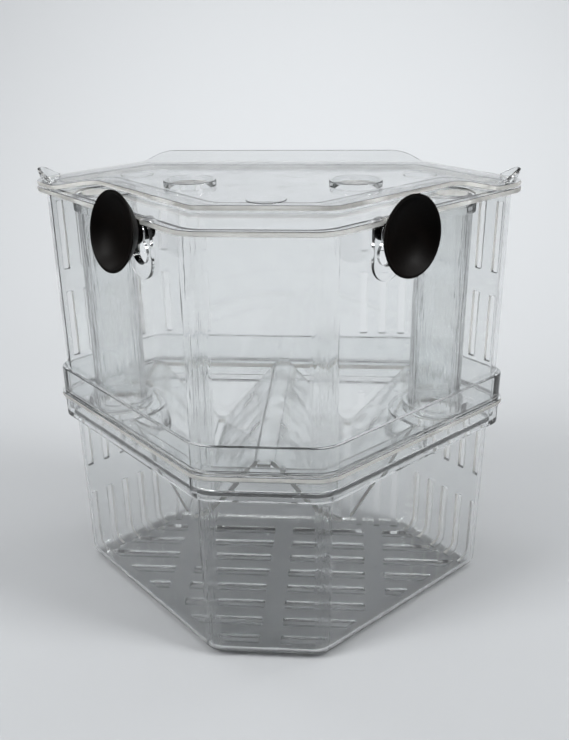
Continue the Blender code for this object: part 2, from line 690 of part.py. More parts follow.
def cup_profile():
    """Half section of a cup, from the open side back to the head: radius and distance out of the wall."""
    inner_face = -WALL - SEAT_GAP
    hub_foot = BOSS_DEPTH + SEAT_GAP
    hub_top = hub_foot + HUB_LENGTH
    rim = hub_top + CUP_DEPTH
    crown = hub_top + CUP_CROWN
    steps = 2 * ARC_STEPS
    hollow = []
    flare = []
    for step in range(steps + 1):
        share = step / steps
        hollow.append(((CUP_RADIUS - CUP_LIP) * sin(share * pi / 2), crown + (rim - crown) * (1 - cos(share * pi / 2))))
        spread = HUB_RADIUS + (CUP_RADIUS - HUB_RADIUS) * (1 - share)
        flare.append((spread, hub_top + (rim - CUP_LIP - hub_top) * (1 - share) ** 1.25))
    return (
        hollow
        + [(CUP_RADIUS, rim)]
        + flare
        + [
            (HUB_RADIUS, hub_foot),
            (NECK_RADIUS, hub_foot),
            (NECK_RADIUS, inner_face),
            (HEAD_RADIUS, inner_face),
            (HEAD_RADIUS, inner_face - HEAD_THICKNESS / 2),
            (HEAD_RADIUS / 2, inner_face - HEAD_THICKNESS),
            (0, inner_face - HEAD_THICKNESS),
        ]
    )


def make_cup(name, side):
    shape = bmesh.new()
    chain = [shape.verts.new((radius, 0, out)) for radius, out in cup_profile()]
    for pair in zip(chain, chain[1:]):
        shape.edges.new(pair)
    data = bpy.data.meshes.new(name)
    shape.to_mesh(data)
    shape.free()
    cup = add_object(name, data, PIECES, black_rubber(f"{name}_black_rubber"))
    turn = cup.modifiers.new("turned", "SCREW")
    turn.angle = 2 * pi
    turn.steps = CUP_SIDES
    turn.render_steps = CUP_SIDES
    turn.use_merge_vertices = True
    turn.merge_threshold = 0.00005
    turn.use_smooth_shade = True
    cup.matrix_world = facing_out(CUP_ALONG, UPPER_WALL_INSET, CUP_HEIGHT, side) @ Matrix.Rotation(-pi / 2, 4, "X")
    return cup


def main():
    clear_scene()
    lower_box = make_lower_box()
    tray = make_tray()
    separator = make_separator()
    upper_box = make_upper_box()
    lid = make_lid()
    cups = [make_cup("suction_cup_left", -1), make_cup("suction_cup_right", 1)]
    carry(lower_box, tray)
    carry(tray, separator)
    carry(tray, upper_box)
    carry(upper_box, lid)
    for cup in cups:
        carry(upper_box, cup)


main()
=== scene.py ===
"""The look of a two-tier clear fish breeding box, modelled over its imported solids.

Each piece is made again, finer than its solid and in the same place: thin moulded walls with
rounded corners and softened edges, slotted walls and floor, a folded sheet and two rubber cups.
Metres, +Z up, the front towards -Y, the origin at the middle of the box under its floor.
"""

import math

import bmesh
import bpy
from mathutils import Matrix, Vector


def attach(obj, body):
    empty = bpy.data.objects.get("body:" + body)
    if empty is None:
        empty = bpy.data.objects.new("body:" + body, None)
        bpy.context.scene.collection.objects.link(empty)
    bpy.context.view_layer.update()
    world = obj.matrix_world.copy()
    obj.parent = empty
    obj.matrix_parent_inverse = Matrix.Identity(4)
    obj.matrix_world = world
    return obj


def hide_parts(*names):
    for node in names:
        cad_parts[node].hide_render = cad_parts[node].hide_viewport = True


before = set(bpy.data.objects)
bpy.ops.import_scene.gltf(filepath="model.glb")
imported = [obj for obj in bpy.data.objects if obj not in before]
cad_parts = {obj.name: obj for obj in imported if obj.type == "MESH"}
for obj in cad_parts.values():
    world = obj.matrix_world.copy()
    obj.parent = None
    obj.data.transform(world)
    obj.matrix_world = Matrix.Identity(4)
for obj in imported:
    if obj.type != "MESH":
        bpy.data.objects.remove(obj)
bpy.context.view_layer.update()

MM = 0.001
NEAR = 0.02 * MM
SIDES = (-1, 1)

# Plan of the deck's outer edge with sharp corners, right half
FRONT_CORNER = Vector((16.6, -39.05)) * MM
SIDE_CORNER = Vector((67.0, 11.35)) * MM
BACK_CORNER = Vector((41.4, 39.05)) * MM
FRONT_Y = FRONT_CORNER.y
BACK_Y = BACK_CORNER.y
FRONT_OUT = Vector((1, -1)).normalized()
BACK_OUT = Vector((27.7, 25.6)).normalized()
FRONT_RADIUS = 9.0 * MM
SIDE_RADIUS = 6.0 * MM
BACK_RADIUS = 6.0 * MM
LEAST_RADIUS = 1.5 * MM
CORNER_STEPS = 8

# How far a bevel runs back from a corner for each millimetre of radius: 135, 92.3 and 132.7 degrees
FRONT_RUN = 0.4142
SIDE_RUN = 0.9613
BACK_RUN = 0.4375

# The reach in y of the front, side and back corners
FRONT_END = -15 * MM
BACK_START = 25 * MM
FAR = 90 * MM
CORNER_BANDS = ((-FAR, FRONT_END), (FRONT_END, BACK_START), (BACK_START, FAR))

# Walls: how far a joined shape sinks into the next, and how far a cutter runs past what it cuts
WALL = 1.2 * MM
UPPER_WALL = 1.0 * MM
PLATE = 1.3 * MM
SUNK = 0.15 * MM
PAST = 1.0 * MM

# Roundings of edges
PLATE_EDGE = 0.35 * MM
WALL_EDGE = 0.3 * MM
FINE_EDGE = 0.25 * MM

# Heights
SHOULDER = 50.9 * MM
LOWER_TOP = 56.9 * MM
TRAY_SEAT = 57.2 * MM
FLANGE_TOP = 58.5 * MM
RIM_TOP = 66.3 * MM
UPPER_SEAT = 58.8 * MM
DECK_LOW = 117.9 * MM
DECK_TOP = 119.2 * MM
LID_SEAT = 119.5 * MM
LID_TOP = 120.7 * MM

# How far each wall stands in from the plan
COLLAR_INSET = 0.8 * MM
SKIRT_INSET = 2.3 * MM
UPPER_INSET = 2.3 * MM
LOWER_INSET = 3.0 * MM
FOOT_INSET = 3.5 * MM
OPENING_INSET = 6.2 * MM
OPENING_HALF = 40.38 * MM

# Slots of the back walls: their pitch, and the first one's distance from the back corner
SLOT_WIDTH = 2.1 * MM
SLOT_PITCH = 5.8 * MM
SLOT_FIRST = 5.3 * MM
SLOT_ROUND = 0.35 * MM
SLOTS_START = 14 * MM

# Slots of the floor: rows counted from the back, each in two spans on either side
FLOOR_ROWS = 8
FLOOR_FIRST = 13.6 * MM
FLOOR_PITCH = 7.66 * MM
FLOOR_SLOT = 2.9 * MM
FLOOR_SPANS = ((3.0 * MM, 26.0 * MM), (32.0 * MM, 67.0 * MM))
FLOOR_MARGIN = 5.8 * MM

# Feed tubes
TUBE_AT = Vector((43.98, 3.40)) * MM
TUBE_RADIUS = 7.15 * MM
TUBE_BORE = 6.0 * MM
LOBE_RADIUS = 12.5 * MM

# Cups and the pads that hold them
CUP_ALONG = 19.5 * MM
CUP_HEIGHT = 115.4 * MM
CUP_TRAVEL = 4.8 * MM
NECK_HOLE = 1.8 * MM
HEAD_HOLE = 3.2 * MM
PAD_WIDTH = 10.0 * MM
PAD_DEPTH = 0.8 * MM
PAD_DROP = 11.6 * MM


def only(piece):
    """Make this the one selected and active piece."""
    bpy.ops.object.select_all(action="DESELECT")
    piece.select_set(True)
    bpy.context.view_layer.objects.active = piece


def edit(piece):
    only(piece)
    bpy.ops.object.mode_set(mode="EDIT")


def close_edit():
    bpy.ops.object.mode_set(mode="OBJECT")


def pick(kind, test):
    """In edit mode, select just the vertices, edges or faces that pass a test."""
    bpy.ops.mesh.select_mode(type=kind)
    bpy.ops.mesh.select_all(action="DESELECT")
    data = bpy.context.edit_object.data
    shape = bmesh.from_edit_mesh(data)
    parts = {"VERT": shape.verts, "EDGE": shape.edges, "FACE": shape.faces}[kind]
    for part in parts:
        if test(part):
            part.select_set(True)
    shape.select_flush_mode()
    bmesh.update_edit_mesh(data)


def upright(edge):
    first, second = edge.verts
    return (first.co.xy - second.co.xy).length < NEAR


def middle_of(edge):
    return (edge.verts[0].co + edge.verts[1].co) / 2


def at_height(part, height):
    return all(abs(vertex.co.z - height) < NEAR for vertex in part.verts)


def level_face(face):
    return abs(face.normal.z) > 0.9


def upright_face(face):
    return abs(face.normal.z) < 0.2


def bevel(width, steps):
    bpy.ops.mesh.bevel(offset=width, segments=steps, affect="EDGES", clamp_overlap=False)


def cut_off(point, normal):
    """In edit mode, cut away what lies on the normal's side of a plane and close the cut."""
    bpy.ops.mesh.select_all(action="SELECT")
    bpy.ops.mesh.bisect(plane_co=point, plane_no=normal, use_fill=True, clear_outer=True)


def face_outwards():
    """In edit mode, turn every face's normal outwards."""
    bpy.ops.mesh.select_all(action="SELECT")
    bpy.ops.mesh.normals_make_consistent(inside=False)


def settle(name, size=(1, 1, 1)):
    """Name the new primitive and put its place, turn and size into its mesh."""
    made = bpy.context.object
    made.name = name
    made.data.name = name
    made.scale = size
    bpy.ops.object.transform_apply(location=True, rotation=True, scale=True)
    return made


def bar(name, middle, size, turn=0.0):
    bpy.ops.object.select_all(action="DESELECT")
    bpy.ops.mesh.primitive_cube_add(size=1, location=middle, rotation=(0, 0, turn))
    return settle(name, size)


def drum(name, middle, radius, height, sides=72, tip=(0, 0, 0)):
    bpy.ops.object.select_all(action="DESELECT")
    bpy.ops.mesh.primitive_cylinder_add(
        vertices=sides, radius=radius, depth=height, location=middle, rotation=tip
    )
    return settle(name)


def apply_step(piece, kind, **settings):
    """Add a modifier with these settings and apply it."""
    step = piece.modifiers.new(kind.lower(), kind)
    for name, value in settings.items():
        setattr(step, name, value)
    only(piece)
    bpy.ops.object.modifier_apply(modifier=step.name)


def combine(piece, operation, *others):
    """Join, cut or trim a piece with other shapes, which are used up."""
    for other in others:
        apply_step(piece, "BOOLEAN", object=other, operation=operation, solver="EXACT")
        bpy.data.objects.remove(other)
    return piece


def joined(pieces):
    bpy.ops.object.select_all(action="DESELECT")
    for piece in pieces:
        piece.select_set(True)
    bpy.context.view_layer.objects.active = pieces[0]
    bpy.ops.object.join()
    return pieces[0]


def copies(pattern, places):
    """Copies of one modelled shape, each with its own mesh, joined; the pattern is used up."""
    made = []
    for place in places:
        twin = pattern.copy()
        twin.data = pattern.data.copy()
        twin.data.transform(place)
        bpy.context.scene.collection.objects.link(twin)
        made.append(twin)
    bpy.data.objects.remove(pattern)
    return joined(made)


def soften(piece, width, test=lambda edge: True):
    """Round the sharp edges that pass a test, as the polished mould leaves them."""
    edit(piece)
    pick("EDGE", lambda edge: edge.calc_face_angle(0) > math.radians(40) and test(edge))
    bevel(width, 2)
    close_edit()


def plan_block(name, low, high, inset, radii=None):
    """A block with the box's six-sided plan set in all round, its upright corners rounded."""
    if radii is None:
        full = (FRONT_RADIUS, SIDE_RADIUS, BACK_RADIUS)
        radii = [max(radius - inset, LEAST_RADIUS) for radius in full]
    size = (2 * SIDE_CORNER.x, BACK_Y - FRONT_Y - 2 * inset, high - low)
    block = bar(name, (0, 0, (low + high) / 2), size)
    edit(block)
    for side in SIDES:
        for out in (FRONT_OUT, BACK_OUT):
            normal = Vector((side * out.x, out.y, 0))
            cut_off(Vector((side * SIDE_CORNER.x, SIDE_CORNER.y, 0)) - normal * inset, normal)
    runs = (FRONT_RUN, SIDE_RUN, BACK_RUN)
    for radius, run, (first, last) in zip(radii, runs, CORNER_BANDS):
        pick("EDGE", lambda edge: upright(edge) and first < middle_of(edge).y < last)
        bevel(radius * run, CORNER_STEPS)
    close_edit()
    return block


def plan_ring(name, low, high, inset, thickness=WALL):
    """An upright wall that follows the plan, a little thicker round its front corners."""
    ring = plan_block(name, low, high, inset)
    radii = (FRONT_RADIUS, SIDE_RADIUS - inset, BACK_RADIUS - inset)
    space = plan_block("space", low - PAST, high + PAST, inset + thickness, radii)
    return combine(ring, "DIFFERENCE", space)


def on_diagonal(along, inset, side=1):
    """A point of a front diagonal: along it from the front corner, and in from the deck's edge."""
    point = FRONT_CORNER + Vector((1, 1)).normalized() * along - FRONT_OUT * inset
    return Vector((side * point.x, point.y))


def facing_out(along, inset, height):
    """The places on the two front diagonals where local +Y points out of the box."""
    for side in SIDES:
        point = on_diagonal(along, inset, side)
        turn = Matrix.Rotation(-side * 3 * math.pi / 4, 4, "Z")
        yield Matrix.Translation((point.x, point.y, height)) @ turn


def both_sides(point):
    """The places of a point of the plan on the right and its mirror image on the left."""
    return [Matrix.Translation((side * point.x, point.y, 0)) for side in SIDES]


def set_back_block(name, low, high, front, diagonal, reach, edge, radius):
    """A plan block cut back along the front, and along the front diagonals as far as reach."""
    block = plan_block(name, low, high, edge)
    height = high - low + 2 * PAST
    level = (low + high) / 2
    width, depth = 160 * MM, 60 * MM
    strip = bar("strip", (0, FRONT_Y + front - depth / 2, level), (width, depth, height))
    combine(block, "DIFFERENCE", strip)
    before, outside = 20 * MM, 10 * MM
    for side in SIDES:
        middle = on_diagonal((reach - before) / 2, (diagonal - outside) / 2, side)
        size = (reach + before, diagonal + outside, height)
        wing = bar("wing", (*middle, level), size, side * math.pi / 4)
        combine(block, "DIFFERENCE", wing)
    corner_x = FRONT_CORNER.x + front - diagonal * math.sqrt(2)
    corners = (
        (Vector((corner_x, FRONT_Y + front)), radius * FRONT_RUN),
        (on_diagonal(reach, diagonal), radius),
        (on_diagonal(reach, edge), LEAST_RADIUS),
    )
    edit(block)
    for point, run in corners:
        for side in SIDES:
            target = Vector((side * point.x, point.y))
            pick("EDGE", lambda e: upright(e) and (middle_of(e).xy - target).length < 10 * NEAR)
            bevel(run, CORNER_STEPS)
    close_edit()
    return block


def mouth_block(name, low, high, inset):
    """A block that fills the deck's mouth, set in all round."""
    return set_back_block(
        name, low, high, front=22 * MM + inset, diagonal=18 * MM + inset,
        reach=59.48 * MM + inset, edge=4.1 * MM + inset, radius=5 * MM,
    )


def opening_block(name, low, high, inset, half):
    """A block that fills the tray's opening: the plan set in, and cut off at both sides."""
    block = plan_block(name, low, high, inset)
    edit(block)
    for side in SIDES:
        cut_off((side * half, 0, 0), (side, 0, 0))
    close_edit()
    return block


def tube_drums(name, radius, low, high):
    """A drum on the axis of each feed tube."""
    return copies(drum(name, (0, 0, (low + high) / 2), radius, high - low), both_sides(TUBE_AT))


def back_slot_places(inset):
    """A frame on each slot of the back walls, its local +Y pointing out of the box."""
    middle = (SIDE_CORNER + BACK_CORNER) / 2 - BACK_OUT * inset
    run = Vector((BACK_OUT.y, -BACK_OUT.x))
    turn = math.atan2(-BACK_OUT.x, BACK_OUT.y)
    places = []
    for side in SIDES:
        for step in range(-2, 3):
            point = middle + run * SLOT_PITCH * step
            place = Matrix.Translation((side * point.x, point.y, 0))
            places.append(place @ Matrix.Rotation(side * turn, 4, "Z"))
        for step in range(3):
            x = BACK_CORNER.x - SLOT_FIRST - SLOT_PITCH * step
            places.append(Matrix.Translation((side * x, BACK_Y - inset, 0)))
    return places


def slot_row(name, inset, low, high, inwards):
    """Cutters for one row of slots in the back walls, their ends a little rounded."""
    size = (SLOT_WIDTH, inwards + PAST, high - low)
    slot = bar(name, (0, (PAST - inwards) / 2, (low + high) / 2), size)
    edit(slot)
    pick("EDGE", lambda edge: abs(edge.verts[0].co.y - edge.verts[1].co.y) > NEAR)
    bevel(SLOT_ROUND, 3)
    close_edit()
    return copies(slot, back_slot_places(inset))


def floor_slots():
    """Cutters for eight rows of slots between three ribs, ending in line with the walls."""
    rows = []
    for row in range(FLOOR_ROWS):
        y = BACK_Y - FLOOR_FIRST - row * FLOOR_PITCH
        for start, end in FLOOR_SPANS:
            for side in SIDES:
                size = (end - start, FLOOR_SLOT, PLATE + 2 * PAST)
                rows.append(bar("floor_slot", (side * (start + end) / 2, y, PLATE / 2), size))
    field = plan_block("field", -3 * PAST, PLATE + 3 * PAST, FOOT_INSET + FLOOR_MARGIN, ())
    slots = combine(joined(rows), "INTERSECT", field)
    edit(slots)
    pick("EDGE", upright)
    bevel(SLOT_ROUND, 3)
    close_edit()
    return slots


def make_lower_box():
    """A tub with a round foot and a stepped-out collar, drawn as one skin and then given its wall."""
    radii = (6.5 * MM, 4.6 * MM, 4.6 * MM)
    draft = (0.992, 0.986, 1)
    foot_radius = 4.0 * MM
    tub = plan_block("lower_box_moulding", 0, SHOULDER, LOWER_INSET, radii)
    edit(tub)
    pick("VERT", lambda vertex: vertex.co.z < NEAR)
    bpy.ops.transform.resize(value=draft, center_override=(0, 0, 0))
    pick("EDGE", lambda edge: at_height(edge, 0))
    bevel(foot_radius, 7)
    pick("FACE", lambda face: at_height(face, SHOULDER))
    bpy.ops.mesh.delete(type="FACE")
    close_edit()
    collar = plan_block("collar", SHOULDER, LOWER_TOP, COLLAR_INSET)
    edit(collar)
    pick("FACE", level_face)
    bpy.ops.mesh.delete(type="FACE")
    close_edit()
    joined([tub, collar])
    edit(tub)
    pick("EDGE", lambda edge: at_height(edge, SHOULDER))
    bpy.ops.mesh.bridge_edge_loops()
    face_outwards()
    close_edit()
    apply_step(tub, "SOLIDIFY", thickness=WALL, offset=-1, use_even_offset=True)
    soften(tub, WALL_EDGE)
    low_row = slot_row("foot_slots", FOOT_INSET, -PAST, 21.5 * MM, 5.2 * MM)
    high_row = slot_row("high_slots", LOWER_INSET, 31.1 * MM, 48.1 * MM, 2.7 * MM)
    return combine(tub, "DIFFERENCE", low_row, high_row, floor_slots())


def make_tray():
    """A flange with a rim above it and a skirt below, an opening, and a seat for each feed tube."""
    tray = plan_block("tray_moulding", TRAY_SEAT, FLANGE_TOP, 0)
    soften(tray, PLATE_EDGE)
    rim = plan_ring("rim", FLANGE_TOP - SUNK, RIM_TOP, COLLAR_INSET)
    soften(rim, WALL_EDGE, lambda edge: at_height(edge, RIM_TOP))
    foot = TRAY_SEAT - 4.0 * MM
    skirt = plan_ring("skirt", foot, TRAY_SEAT + SUNK, SKIRT_INSET)
    soften(skirt, WALL_EDGE, lambda edge: at_height(edge, foot))
    combine(tray, "UNION", rim, skirt)
    under, over = TRAY_SEAT - PAST, FLANGE_TOP + PAST
    opening = opening_block("opening", under, over, OPENING_INSET, OPENING_HALF)
    combine(tray, "DIFFERENCE", opening)

    low = FLANGE_TOP - 8.0 * MM
    lobes = tube_drums("lobes", LOBE_RADIUS, low, FLANGE_TOP - SUNK)
    hollows = tube_drums("hollows", LOBE_RADIUS - WALL, low - PAST, TRAY_SEAT + SUNK)
    combine(lobes, "DIFFERENCE", hollows)
    bounds = opening_block("bounds", low - PAST, over, OPENING_INSET - WALL, OPENING_HALF + WALL)
    combine(lobes, "INTERSECT", bounds)
    combine(tray, "UNION", lobes)

    socket = TUBE_RADIUS + 0.3 * MM
    seat_wall = 1.2 * MM
    seat_top = FLANGE_TOP + 2.4 * MM
    seats = tube_drums("seats", socket + seat_wall, FLANGE_TOP - SUNK, seat_top)
    sockets = tube_drums("sockets", socket, FLANGE_TOP - PAST, FLANGE_TOP + 4 * MM)
    combine(seats, "DIFFERENCE", sockets)
    soften(seats, WALL_EDGE, lambda edge: at_height(edge, seat_top))
    inside = plan_block("seat_bounds", TRAY_SEAT, RIM_TOP, UPPER_INSET + 1.5 * MM)
    combine(seats, "INTERSECT", inside)
    combine(tray, "UNION", seats)
    return combine(tray, "DIFFERENCE", tube_drums("holes", TUBE_BORE + 0.3 * MM, under, over))


def make_separator():
    """A sheet folded into a ridge and two troughs: a plane extruded fold by fold, then thickened."""
    level, floor = 59.4 * MM, 39.6 * MM
    ridge, trough, trough_end = 1.8 * MM, 18.5 * MM, 21.5 * MM
    brim, brim_end = 38.88 * MM, 43.0 * MM
    folds = ((ridge, level), (trough, floor), (trough_end, floor), (brim, level), (brim_end, level))
    depth = BACK_Y - FRONT_Y
    bpy.ops.object.select_all(action="DESELECT")
    bpy.ops.mesh.primitive_plane_add(size=1, location=(0, 0, level))
    sheet = settle("separator_sheet", (2 * ridge, depth, 1))
    edit(sheet)
    for side in SIDES:
        for (x, z), (next_x, next_z) in zip(folds, folds[1:]):
            pick("EDGE", lambda edge: all(abs(v.co.x - side * x) < NEAR for v in edge.verts))
            step = (side * (next_x - x), 0, next_z - z)
            bpy.ops.mesh.extrude_region_move(TRANSFORM_OT_translate={"value": step})
    pick("EDGE", lambda edge: not edge.is_boundary and len(edge.link_faces) == 2)
    bevel(0.9 * MM, 5)
    face_outwards()
    close_edit()
    apply_step(sheet, "SOLIDIFY", thickness=WALL, offset=0, use_even_offset=True)

    low, high = floor - 2 * PAST, level + 2 * PAST
    end = OPENING_INSET + 1.0 * MM
    trim = opening_block("trim", low, high, end, OPENING_HALF + 2.2 * MM)
    combine(sheet, "INTERSECT", trim)
    lobe_room = tube_drums("lobe_room", LOBE_RADIUS + 0.3 * MM, low, high)
    combine(sheet, "DIFFERENCE", lobe_room)
    soften(sheet, FINE_EDGE)
    slit_size = (2.0 * MM, depth - 2 * end - 4.4 * MM, 4 * MM)
    slits = [bar("slit", (side * 20 * MM, 0, floor), slit_size) for side in SIDES]
    combine(sheet, "DIFFERENCE", joined(slits))
    tab_size = (3.4 * MM, depth - 2 * end + 4.3 * MM, WALL - 0.2 * MM)
    tabs = bar("ridge_tabs", (0, 0.35 * MM, level), tab_size)
    soften(tabs, FINE_EDGE)
    return combine(sheet, "UNION", tabs)


def cup_pads():
    """Pads on the front diagonals behind the cups, with round feet."""
    top = DECK_LOW + SUNK - CUP_HEIGHT
    depth = PAD_DEPTH + SUNK
    pad = bar("pads", (0, depth / 2, (top - PAD_DROP) / 2), (PAD_WIDTH, depth, top + PAD_DROP))

    def at_foot(edge):
        return at_height(edge, -PAD_DROP) and abs(middle_of(edge).x) > PAD_WIDTH / 4

    def round_face(edge):
        return middle_of(edge).y > PAD_DEPTH and middle_of(edge).z < top - NEAR

    edit(pad)
    pick("EDGE", at_foot)
    bevel(PAD_WIDTH / 2 - NEAR, 12)
    close_edit()
    soften(pad, FINE_EDGE, round_face)
    return copies(pad, facing_out(CUP_ALONG, UPPER_INSET + SUNK, CUP_HEIGHT))


def keyholes():
    """Cutters for the keyholes: a slot for a cup's neck and, below it, a round hole for its head."""
    depth = WALL + PAD_DEPTH + 2 * PAST
    middle = depth / 2 - PAST
    height = NECK_HOLE + CUP_TRAVEL
    slot = bar("necks", (0, middle, (NECK_HOLE - CUP_TRAVEL) / 2), (2 * NECK_HOLE, depth, height))

    def at_top(edge):
        return at_height(edge, NECK_HOLE) and abs(middle_of(edge).x) > NECK_HOLE / 2

    edit(slot)
    pick("EDGE", at_top)
    bevel(NECK_HOLE - NEAR, 8)
    close_edit()
    hole = drum("heads", (0, middle, -CUP_TRAVEL), HEAD_HOLE, depth, 48, (math.pi / 2, 0, 0))
    inset = UPPER_INSET + WALL
    return [copies(shape, facing_out(CUP_ALONG, inset, CUP_HEIGHT)) for shape in (slot, hole)]


def make_upper_box():
    """Walls under a deck with a wide mouth, two feed tubes, and pads with keyholes for the cups."""
    top = DECK_LOW + SUNK
    box = plan_ring("upper_box_moulding", UPPER_SEAT, top, UPPER_INSET, UPPER_WALL)
    soften(box, FINE_EDGE, lambda edge: at_height(edge, UPPER_SEAT))
    deck = plan_block("deck", DECK_LOW, DECK_TOP, 0)
    soften(deck, PLATE_EDGE)
    combine(deck, "DIFFERENCE", mouth_block("mouth", DECK_LOW - PAST, DECK_TOP + PAST, 0))
    soften(deck, FINE_EDGE, lambda edge: at_height(edge, DECK_TOP))
    combine(box, "UNION", deck)

    tube_foot = UPPER_SEAT + SUNK
    tubes = tube_drums("tubes", TUBE_RADIUS, tube_foot, top)
    soften(tubes, WALL_EDGE, lambda edge: at_height(edge, tube_foot))
    collar_foot = DECK_LOW - 3.4 * MM
    collars = tube_drums("tube_collars", TUBE_RADIUS + 0.8 * MM, collar_foot, top)
    soften(collars, 0.4 * MM, lambda edge: at_height(edge, collar_foot))
    clear_of_wall = UPPER_INSET + UPPER_WALL + 0.15 * MM
    combine(collars, "INTERSECT", plan_block("inside", 100 * MM, DECK_TOP, clear_of_wall))
    combine(box, "UNION", tubes, collars, cup_pads())
    bores = tube_drums("bores", TUBE_BORE, UPPER_SEAT - PAST, DECK_LOW - SUNK)
    combine(box, "DIFFERENCE", bores)

    hole = on_diagonal(49.38 * MM, 8.0 * MM)
    feed_hole = drum("feed_holes", (0, 0, DECK_TOP), 4 * MM, 6 * MM)
    combine(box, "DIFFERENCE", copies(feed_hole, both_sides(hole)), *keyholes())
    face = UPPER_INSET - PAD_DEPTH - SUNK
    notch_size = (7.2 * MM, face + PAST, PLATE + 2 * PAST)
    notch = bar("notches", (0, (face + PAST) / 2, 0), notch_size)
    notches = copies(notch, facing_out(CUP_ALONG, face, (DECK_LOW + DECK_TOP) / 2))
    combine(box, "DIFFERENCE", notches)
    slot_height = 19.8 * MM
    for low in (68.1 * MM, 94.5 * MM):
        row = slot_row("slots", UPPER_INSET, low, low + slot_height, WALL + PAST)
        combine(box, "DIFFERENCE", row)
    return box


def make_lid():
    """A plate set back from the cups, with a locating rib, a back tab, two ears and feed collars."""
    lid = set_back_block(
        "lid_moulding", LID_SEAT, LID_TOP, front=18.5 * MM, diagonal=12.5 * MM,
        reach=57.98 * MM, edge=0.1 * MM, radius=4 * MM,
    )
    soften(lid, WALL_EDGE)
    low = LID_SEAT - 1.8 * MM
    rib = mouth_block("rib", low, LID_SEAT + SUNK, 0.4 * MM)
    combine(rib, "DIFFERENCE", mouth_block("core", low - PAST, LID_SEAT + SUNK / 2, 1.4 * MM))
    combine(lid, "UNION", rib, back_tab(), *ears())

    collar_top = LID_TOP + 1.4 * MM
    for side in SIDES:
        feed_x, feed_y = side * 21.5 * MM, 3.85 * MM
        collar = drum("feed_collar", (feed_x, feed_y, LID_TOP + 0.6 * MM), 6.9 * MM, 1.6 * MM)
        soften(collar, WALL_EDGE, lambda edge: at_height(edge, collar_top))
        combine(lid, "UNION", collar)
        feed_hole = drum("feed_hole", (feed_x, feed_y, LID_TOP), 6 * MM, 6 * MM)
        combine(lid, "DIFFERENCE", feed_hole)
        ring_at = (side * 38.8 * MM, 18.35 * MM, LID_TOP)
        ring = drum("ring", ring_at, 4.6 * MM, 0.5 * MM, 48)
        combine(ring, "DIFFERENCE", drum("core", ring_at, 4.0 * MM, 2 * MM, 48))
        combine(lid, "UNION", ring)
    disc = drum("gate_disc", (0, -13.65 * MM, LID_TOP), 5 * MM, 0.4 * MM, 48)
    soften(disc, 0.15 * MM)
    return combine(lid, "UNION", disc)


def back_tab():
    """The upright tab along the back edge, a bar whose ends are drawn in at the top."""
    rear = BACK_Y - 0.25 * MM
    foot = LID_TOP - SUNK
    length, top_length, thick, height = 82.6 * MM, 70.0 * MM, 1.0 * MM, 3.4 * MM
    tab = bar("back_tab", (0, rear - thick / 2, foot + height / 2), (length, thick, height))

    def at_top_end(edge):
        return at_height(edge, foot + height) and abs(middle_of(edge).x) > 30 * MM

    edit(tab)
    pick("VERT", lambda vertex: vertex.co.z > LID_TOP)
    bpy.ops.transform.resize(value=(top_length / length, 1, 1), center_override=(0, rear, 0))
    pick("EDGE", at_top_end)
    bevel(3.0 * MM, 8)
    close_edit()
    soften(tab, FINE_EDGE, lambda edge: middle_of(edge).z > LID_TOP)
    return tab


def ears():
    """Lips round the side corners, drawn out of a thin plan wall, leant out and cut to a slope."""
    top = LID_TOP + 3.6 * MM
    start, peak, lean = 60.4 * MM, 65.2 * MM, 1.2 * MM
    made = []
    for side in SIDES:
        ear = plan_block("ear", LID_TOP - SUNK, top, 1.4 * MM)
        edit(ear)
        pick("FACE", level_face)
        bpy.ops.mesh.delete(type="FACE")
        bpy.ops.mesh.select_all(action="SELECT")
        bpy.ops.mesh.bisect(
            plane_co=(side * start, 0, 0), plane_no=(side, 0, 0), clear_inner=True
        )
        pick("VERT", lambda vertex: vertex.co.z > LID_TOP)
        bpy.ops.transform.translate(value=(side * lean, 0, 0))
        bpy.ops.mesh.select_all(action="SELECT")
        bpy.ops.mesh.bisect(
            plane_co=(side * peak, 0, top), plane_no=(-side * 0.54, 0, 0.84), clear_outer=True
        )
        close_edit()
        apply_step(ear, "SOLIDIFY", thickness=1.0 * MM, offset=-1, use_even_offset=True)
        soften(ear, 0.2 * MM, lambda edge: middle_of(edge).z > LID_TOP + 1.0 * MM)
        made.append(ear)
    return made


